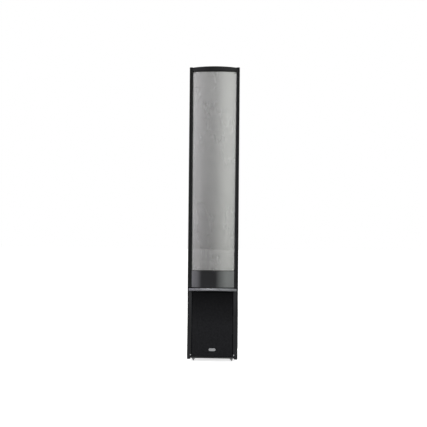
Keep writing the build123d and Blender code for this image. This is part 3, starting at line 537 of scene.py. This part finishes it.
def sheet_rim(places, ring, rise, half_width, bottom, top):
    """The hexagons' points, each once, with the outermost ones moved to the sheet's edges.

    Also returns, for each hole, the numbers of the points round it.
    """
    # Points that neighbours share have the same whole numbers, in steps finer than any gap between points.
    unit = (HOLE_PITCH / 8, ROW_HEIGHT / 12)
    outline = (places[:, None, :] + ring[None]).reshape(-1, 2)
    keys = np.round((outline - np.array([0, HOLES_BOTTOM + rise])) / unit).astype(int)
    _, first, index, uses = np.unique(
        keys, axis=0, return_index=True, return_inverse=True, return_counts=True
    )
    rim = outline[first].copy()
    is_corner = first % 2 == 0
    on_edge = np.where(is_corner, uses < 3, uses < 2)
    rim[on_edge & (rim[:, 0] <= places[:, 0].min() + SAME_PLACE), 0] = -half_width
    rim[on_edge & (rim[:, 0] >= places[:, 0].max() - SAME_PLACE), 0] = half_width
    reach = ROW_HEIGHT / 3 - SAME_PLACE
    rim[on_edge & (rim[:, 1] <= places[:, 1].min() - reach), 1] = bottom
    rim[on_edge & (rim[:, 1] >= places[:, 1].max() + reach), 1] = top
    return rim, index.reshape(len(places), HOLE_SIDES)


def perforated_sheet(name, node, rise):
    """A curved sheet of the node's size, with a hexagon of metal round each round hole."""
    low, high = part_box(node)
    outer = PANEL_AXIS_Y - low.y
    half_width = outer * math.asin(high.x / outer)
    places = hole_centres(rise)
    angles = [math.radians(30 + 360 * k / HOLE_SIDES) for k in range(HOLE_SIDES)]
    rim, index = sheet_rim(places, hexagon(angles), rise, half_width, low.z, high.z)
    circle = HOLE_RADIUS * np.array([(math.cos(a), math.sin(a)) for a in angles])
    holes = (places[:, None, :] + circle[None]).reshape(-1, 2)
    flat = np.vstack((rim, holes))
    hole_index = (len(rim) + np.arange(len(holes))).reshape(index.shape)
    count = len(flat)

    def rolled(radius):
        turn = flat[:, 0] / outer
        return np.column_stack((radius * np.sin(turn), PANEL_AXIS_Y - radius * np.cos(turn), flat[:, 1]))

    def between(a, b, c, d):
        return np.stack((a, b, c, d), axis=2).reshape(-1, 4)

    vertices = np.vstack((rolled(outer), rolled(outer - SHEET_THICKNESS)))
    next_index = np.roll(index, -1, axis=1)
    next_hole = np.roll(hole_index, -1, axis=1)
    front = between(index, next_index, next_hole, hole_index)
    back = front[:, ::-1] + count
    wall = between(hole_index, next_hole, next_hole + count, hole_index + count)
    # The outer edge of the sheet: hexagon sides that belong to one hole alone.
    sides = np.stack((index, next_index), axis=2).reshape(-1, 2)
    _, where, total = np.unique(np.sort(sides, axis=1), axis=0, return_index=True, return_counts=True)
    lone = sides[where[total == 1]]
    edge = np.column_stack((lone[:, 1], lone[:, 0], lone[:, 0] + count, lone[:, 1] + count))
    mesh = bpy.data.meshes.new(name)
    mesh.from_pydata(vertices.tolist(), [], np.vstack((front, back, wall, edge)).tolist())
    clean_sheet(mesh)
    link_sheet(name, node, mesh, outer)


def clean_sheet(mesh):
    """Welds the corners that met at the sheet's edge, and makes every face look outwards."""
    work = bmesh.new()
    work.from_mesh(mesh)
    bmesh.ops.remove_doubles(work, verts=work.verts, dist=SAME_PLACE)
    bmesh.ops.dissolve_degenerate(work, edges=work.edges, dist=SAME_PLACE / 10)
    bmesh.ops.recalc_face_normals(work, faces=work.faces)
    work.to_mesh(mesh)
    work.free()
    mesh.validate()


def link_sheet(name, node, mesh, outer):
    """Shades and links a sheet, with a map of the sheet laid flat."""
    low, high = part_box(node)
    mesh.shade_smooth()
    mesh.set_sharp_from_angle(angle=math.radians(SHARP_ANGLE))
    flat_map = mesh.uv_layers.new(name="OFBake")
    corners = np.zeros(len(mesh.loops), int)
    mesh.loops.foreach_get("vertex_index", corners)
    place = vertex_places(mesh)[corners]
    along = np.arctan2(place[:, 0], PANEL_AXIS_Y - place[:, 1]) * outer
    tall = high.z - low.z
    uv = np.column_stack((0.5 + along / tall, (place[:, 2] - low.z) / tall))
    flat_map.data.foreach_set("uv", uv.astype(np.float32).ravel())
    obj = bpy.data.objects.new(name, mesh)
    scene.collection.objects.link(obj)
    stand_for(obj, node)
    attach(obj, "cabinet")


def panel_axis_y():
    """The y of the panel's vertical axis, from the front sheet's own box."""
    low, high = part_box("stator_front")
    # The sheet's inner arc bulges by its sagitta, R - sqrt(R^2 - half^2), and ends at the box's sides.
    half = high.x
    sagitta = high.y - low.y - SHEET_THICKNESS
    radius = (half**2 + sagitta**2) / (2 * sagitta)
    return low.y + SHEET_THICKNESS + radius


PANEL_AXIS_Y = panel_axis_y()
perforated_sheet("panel_mesh_front", "stator_front", 0.0)
perforated_sheet("panel_mesh_rear", "stator_rear", REAR_SHEET_RISE)


# === Grille cloth =============================================================
CLOTH_CORNER = 0.0038
CLOTH_THICKNESS = 0.0006
CLOTH_CELLS_X, CLOTH_CELLS_Y, CLOTH_CELLS_Z = 84, 6, 132
OPENING_RADIUS = 0.0835
OPENING_SAG = 0.0006
CLOTH_RIPPLE = 0.00012
CLOTH_RIPPLE_SCALE = 34


def open_box(half, low_y, high_y):
    """Points and quads of a box without its rear side, about the origin in x and z."""
    xs = np.linspace(-half.x, half.x, CLOTH_CELLS_X + 1)
    ys = np.linspace(low_y, high_y, CLOTH_CELLS_Y + 1)
    zs = np.linspace(-half.z, half.z, CLOTH_CELLS_Z + 1)
    points, quads = [], []

    def grid(a_values, b_values, place):
        start = len(points)
        points.extend(place(a, b) for a in a_values for b in b_values)
        wide = len(b_values)
        for i in range(len(a_values) - 1):
            for j in range(wide - 1):
                k = start + i * wide + j
                quads.append((k, k + wide, k + wide + 1, k + 1))

    grid(xs, zs, lambda a, b: (a, low_y, b))
    grid(ys, zs, lambda a, b: (-half.x, a, b))
    grid(ys, zs, lambda a, b: (half.x, a, b))
    grid(xs, ys, lambda a, b: (a, b, -half.z))
    grid(xs, ys, lambda a, b: (a, b, half.z))
    return points, quads


def stretched_over(point, half, front_y, opening_z):
    """Where a point of the open box lies on the cloth: round at the corners, drawn in over the opening."""
    x, y, z = point
    core = Vector(
        (
            max(-half.x + CLOTH_CORNER, min(half.x - CLOTH_CORNER, x)),
            max(front_y + CLOTH_CORNER, y),
            max(-half.z + CLOTH_CORNER, min(half.z - CLOTH_CORNER, z)),
        )
    )
    out = Vector(point) - core
    spot = core + out.normalized() * min(out.length, CLOTH_CORNER)
    reach = math.hypot(x, z - opening_z) / OPENING_RADIUS
    if spot.y < front_y + 0.001 and reach < 1:
        spot.y += OPENING_SAG * math.sqrt(1 - reach**2)
    if spot.y < front_y + 0.002:
        spot.y += noise.noise(Vector((x, 0.3, z)) * CLOTH_RIPPLE_SCALE) * CLOTH_RIPPLE
    return spot


def build_grille_cloth():
    """Cloth pulled over the grille frame and round its sides, open at the back."""
    low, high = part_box("grille_cloth")
    middle_z = (low.z + high.z) / 2
    half = Vector(((high.x - low.x) / 2, 0, (high.z - low.z) / 2))
    woofer_low, woofer_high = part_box("woofer_surround")
    opening_z = (woofer_low.z + woofer_high.z) / 2 - middle_z
    points, quads = open_box(half, low.y, high.y)
    lift = Vector((0, 0, middle_z))
    spots = [stretched_over(point, half, low.y, opening_z) + lift for point in points]
    mesh = bpy.data.meshes.new("grille_cloth_woven")
    mesh.from_pydata(spots, [], quads)
    work = bmesh.new()
    work.from_mesh(mesh)
    bmesh.ops.remove_doubles(work, verts=work.verts, dist=1e-5)
    bmesh.ops.recalc_face_normals(work, faces=work.faces)
    if sum(f.normal.y for f in work.faces) > 0:
        bmesh.ops.reverse_faces(work, faces=work.faces)
    work.to_mesh(mesh)
    work.free()
    mesh.shade_smooth()
    obj = bpy.data.objects.new("grille_cloth_woven", mesh)
    scene.collection.objects.link(obj)
    skin = obj.modifiers.new("thickness", "SOLIDIFY")
    skin.thickness = CLOTH_THICKNESS
    skin.offset = -1
    stand_for(obj, "grille_cloth")
    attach(obj, "grille")


build_grille_cloth()


# === Woofer's flexible rings ==================================================
def radial_blend(obj):
    """Bakes the piece's placement into its mesh and reads its vertices' places."""
    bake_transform(obj)
    place = vertex_places(obj.data)


def build_surround():
    """Half-roll of rubber with a flat land glued under the cone's rim and one on the frame."""
    low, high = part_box("woofer_surround")
    centre_z = (low.z + high.z) / 2
    thickness = 0.001
    land_inner, roll_inner, roll_outer, land_outer = 0.0625, 0.0660, 0.0790, 0.0865
    middle, radius = (roll_inner + roll_outer) / 2, (roll_outer - roll_inner) / 2
    front = high.y - thickness
    steps, turns = 28, 144
    outline = [
        (land_outer, front),
        *arc(middle, front, radius, 0, -180, steps),
        (land_inner, front),
        (land_inner, high.y),
        *arc(middle, high.y, radius - thickness, -180, 0, steps),
        (land_outer, high.y),
    ]
    vertices, faces = lathed(outline, (0, centre_z), turns)
    obj = piece("surround_roll", vertices, [f[::-1] for f in faces], "woofer_surround")
    radial_blend(obj)


def build_spider():
    """Corrugated cloth ring that calms to flat lands at its two edges."""
    low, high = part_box("woofer_spider")
    centre_z = (low.z + high.z) / 2
    middle = (low.y + high.y) / 2
    inner, outer = 0.0195, 0.0465
    half_thickness = 0.00025
    wave_height, half_waves = 0.0011, 14
    steps, turns = 96, 96
    wave = []
    for i in range(steps + 1):
        share = i / steps
        calm = min(1, share * 8, (1 - share) * 8)
        r = inner + (outer - inner) * share
        wave.append((r, middle + wave_height * calm * math.sin(share * half_waves * math.pi)))
    top = [(r, y - half_thickness) for r, y in wave]
    bottom = [(r, y + half_thickness) for r, y in reversed(wave)]
    vertices, faces = lathed(top + bottom, (0, centre_z), turns)
    obj = piece("spider_ring", vertices, faces, "woofer_spider")
    radial_blend(obj)


build_surround()
build_spider()


# === Soft and wound parts inside ==============================================
def build_wadding():
    """Four lumpy fibre pads, made by roughening a finely divided copy of each CAD pad."""
    voxel = 0.0045
    inset = 0.0026
    lumps = ((38, 0.0022), (150, 0.0009))
    obj = bpy.data.objects.new("wadding_pads", nodes["damping_wadding"].data.copy())
    scene.collection.objects.link(obj)
    remesh = obj.modifiers.new("fibre", "REMESH")
    remesh.mode = "VOXEL"
    remesh.voxel_size = voxel
    view = bpy.context.evaluated_depsgraph_get()
    solid = bpy.data.meshes.new_from_object(obj.evaluated_get(view))
    solid.name = "wadding_pads"
    obj.modifiers.clear()
    obj.data = solid
    moved = []
    for v in solid.vertices:
        lump = sum(noise.noise(v.co * scale) * height for scale, height in lumps) - inset
        moved.append(v.co + v.normal * lump)
    for v, spot in zip(solid.vertices, moved):
        v.co = spot
    solid.shade_smooth()
    stand_for(obj, "damping_wadding")
    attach(obj, "cabinet")


def build_inductor():
    """An air-cored coil with its turns of wire standing out on every side."""
    low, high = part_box("inductor")
    cx, cy = (low.x + high.x) / 2, (low.y + high.y) / 2
    winding_depth = 0.014
    wire = 0.0008
    turns = 72
    outer = (high.x - low.x) / 2
    inner = outer - winding_depth
    rows = int((high.z - low.z) / (2 * wire))
    layers = int((outer - inner) / (2 * wire))
    arc_steps = 4
    outline = []
    for i in range(rows):
        outline += arc(outer - wire, low.z + wire * (2 * i + 1), wire, -70, 70, arc_steps)
    for i in range(layers):
        outline += arc(outer - wire * (2 * i + 1), high.z - wire, wire, 20, 160, arc_steps)
    for i in range(rows):
        outline += arc(inner + wire, high.z - wire * (2 * i + 1), wire, 110, 250, arc_steps)
    for i in range(layers):
        outline += arc(inner + wire * (2 * i + 1), low.z + wire, wire, 200, 340, arc_steps)
    vertices, faces = lathed(outline, (0, 0), turns)
    upright = [(cx + x, cy - z, y) for x, y, z in vertices]
    obj = piece("coil_turns", upright, [f[::-1] for f in faces], "inductor")
    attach(obj, "cabinet")


build_wadding()
build_inductor()


# === Floor, light and camera ==================================================
def by_ray(tree, kind, otherwise, value):
    """One number for one kind of ray and another for all the rest."""
    path = tree.nodes.new("ShaderNodeLightPath")
    level = tree.nodes.new("ShaderNodeMapRange")
    level.inputs["To Min"].default_value = otherwise
    level.inputs["To Max"].default_value = value
    tree.links.new(path.outputs[kind], level.inputs["Value"])
    return level.outputs["Result"]


def build_floor():
    """A wide pale floor that keeps only a faint shadow, and looks greyer in the object's underside."""
    half = 30.0
    glow_to_camera = 0.72
    corners = [(-half, -half, 0), (half, -half, 0), (half, half, 0), (-half, half, 0)]
    mesh = bpy.data.meshes.new("floor")
    mesh.from_pydata(corners, [], [(0, 1, 2, 3)])
    floor = bpy.data.objects.new("floor", mesh)
    scene.collection.objects.link(floor)
    mat, tree, shader, place = new_material("floor_pale")
    cloud = noise_value(tree, place, 0.8)
    tree.links.new(ramp(tree, cloud, (0.73, 0.73, 0.73), (0.77, 0.77, 0.77)), shader.inputs["Base Color"])
    glow = by_ray(tree, "Is Camera Ray", 0.0, glow_to_camera)
    tree.links.new(glow, shader.inputs["Emission Strength"])
    shader.inputs["Emission Color"].default_value = (1, 1, 1, 1)
    shader.inputs["Roughness"].default_value = 0.9
    shader.inputs["Specular IOR Level"].default_value = 0.0
    floor.data.materials.append(mat)


def build_world():
    """White surroundings that light the object softly, and look dimmer in its reflections."""
    seen, scattered, reflected = 1.0, 0.7, 0.4
    world = bpy.data.worlds.new("studio")
    scene.world = world
    world.use_nodes = True
    tree = world.node_tree
    sky = tree.nodes["Background"]
    choice = tree.nodes.new("ShaderNodeMix")
    tree.links.new(by_ray(tree, "Is Camera Ray", 0.0, 1.0), choice.inputs["Factor"])
    tree.links.new(by_ray(tree, "Is Glossy Ray", scattered, reflected), choice.inputs["A"])
    choice.inputs["B"].default_value = seen
    sky.inputs["Color"].default_value = (1, 1, 1, 1)
    tree.links.new(choice.outputs["Result"], sky.inputs["Strength"])


def add_lamp(name, location, target, width, height, radiance):
    """A soft area light that points at a target and isn't seen itself."""
    lamp = bpy.data.lights.new(name, "AREA")
    lamp.shape = "RECTANGLE"
    lamp.size, lamp.size_y = width, height
    lamp.energy = radiance * math.pi * width * height
    obj = bpy.data.objects.new(name, lamp)
    obj.location = location
    obj.rotation_euler = (Vector(target) - obj.location).to_track_quat("-Z", "Y").to_euler()
    obj.visible_camera = False
    scene.collection.objects.link(obj)
    return obj


def soft_box(name, azimuth, distance, width, height, centre_z, radiance):
    """A tall soft light that faces the object. Azimuth is from the front, to the right."""
    turn = math.radians(azimuth)
    location = (distance * math.sin(turn), -distance * math.cos(turn), centre_z)
    return add_lamp(name, location, (0, 0, centre_z), width, height, radiance).data


def fade_across(lamp, stops):
    """Varies a lamp's brightness from its left edge to its right, by (place, share) pairs."""
    lamp.use_nodes = True
    tree = lamp.node_tree
    across = tree.nodes.new("ShaderNodeNewGeometry").outputs["Parametric"]
    split = tree.nodes.new("ShaderNodeSeparateXYZ")
    tree.links.new(across, split.inputs["Vector"])
    fade = tree.nodes.new("ShaderNodeValToRGB")
    elements = fade.color_ramp.elements
    while len(elements) < len(stops):
        elements.new(0.5)
    for element, (place, share) in zip(elements, stops):
        element.position = place
        element.color = (share, share, share, 1)
    tree.links.new(split.outputs["X"], fade.inputs["Fac"])
    tree.links.new(fade.outputs["Color"], tree.nodes["Emission"].inputs["Strength"])


def light_only(lamp_object, node):
    """Lets a lamp light one CAD node and nothing else."""
    lit = bpy.data.collections.new(lamp_object.name + "_lights")
    lit.objects.link(nodes[node])
    lamp_object.light_linking.receiver_collection = lit


def build_lights():
    """Two graded lights in front, two plain ones behind, one overhead and one for the ledge's highlight."""
    left = soft_box("light_left", -29, 4.6, 1.9, 2.9, 1.46, 5.2)
    left.color = (0.93, 0.92, 1.0)
    fade_across(left, ((0.0, 1.0), (0.45, 0.8), (0.75, 0.55), (1.0, 0.0)))
    right = soft_box("light_right", 15, 4.6, 2.3, 2.6, 1.31, 4.75)
    right.color = (0.95, 1.0, 0.97)
    fade_across(right, ((0.0, 0.0), (0.2, 0.45), (0.5, 1.0), (1.0, 0.95)))
    soft_box("light_rear_left", -135, 4.2, 1.8, 2.6, 1.5, 6.0)
    soft_box("light_rear_right", 135, 4.2, 1.8, 2.6, 1.5, 6.0)
    add_lamp("light_overhead", (0, 1.2, 3.6), (0, 0.1, 0.3), 2.4, 2.4, 3.0)
    ledge = add_lamp("light_ledge", (-0.55, -4.6, 0.4), (0, -0.2, 0.33), 0.9, 0.9, 20.0)
    light_only(ledge, "ledge_trim")


def build_camera():
    """A camera low in front, turned and tilted a little, as the object is seen in the picture."""
    distance, height = 4.0, 0.570
    azimuth, yaw, pitch, roll = (math.radians(a) for a in (-2.58, -0.12, 1.50, 0.535))
    lens = bpy.data.cameras.new("camera")
    lens.sensor_width = 36.0
    lens.lens = 70.81
    camera = bpy.data.objects.new("camera", lens)
    camera.location = (-distance * math.sin(azimuth), -distance * math.cos(azimuth), height)
    heading = azimuth + yaw
    forward = Vector(
        (math.sin(heading) * math.cos(pitch), math.cos(heading) * math.cos(pitch), math.sin(pitch))
    )
    matrix = forward.to_track_quat("-Z", "Y").to_matrix().to_4x4()
    right, up = matrix.col[0].xyz, matrix.col[1].xyz
    matrix.col[0].xyz = right * math.cos(roll) + up * math.sin(roll)
    matrix.col[1].xyz = up * math.cos(roll) - right * math.sin(roll)
    matrix.translation = camera.location
    camera.matrix_world = matrix
    scene.collection.objects.link(camera)
    scene.camera = camera


build_floor()
build_world()
build_lights()
build_camera()
scene.view_settings.view_transform = "Standard"
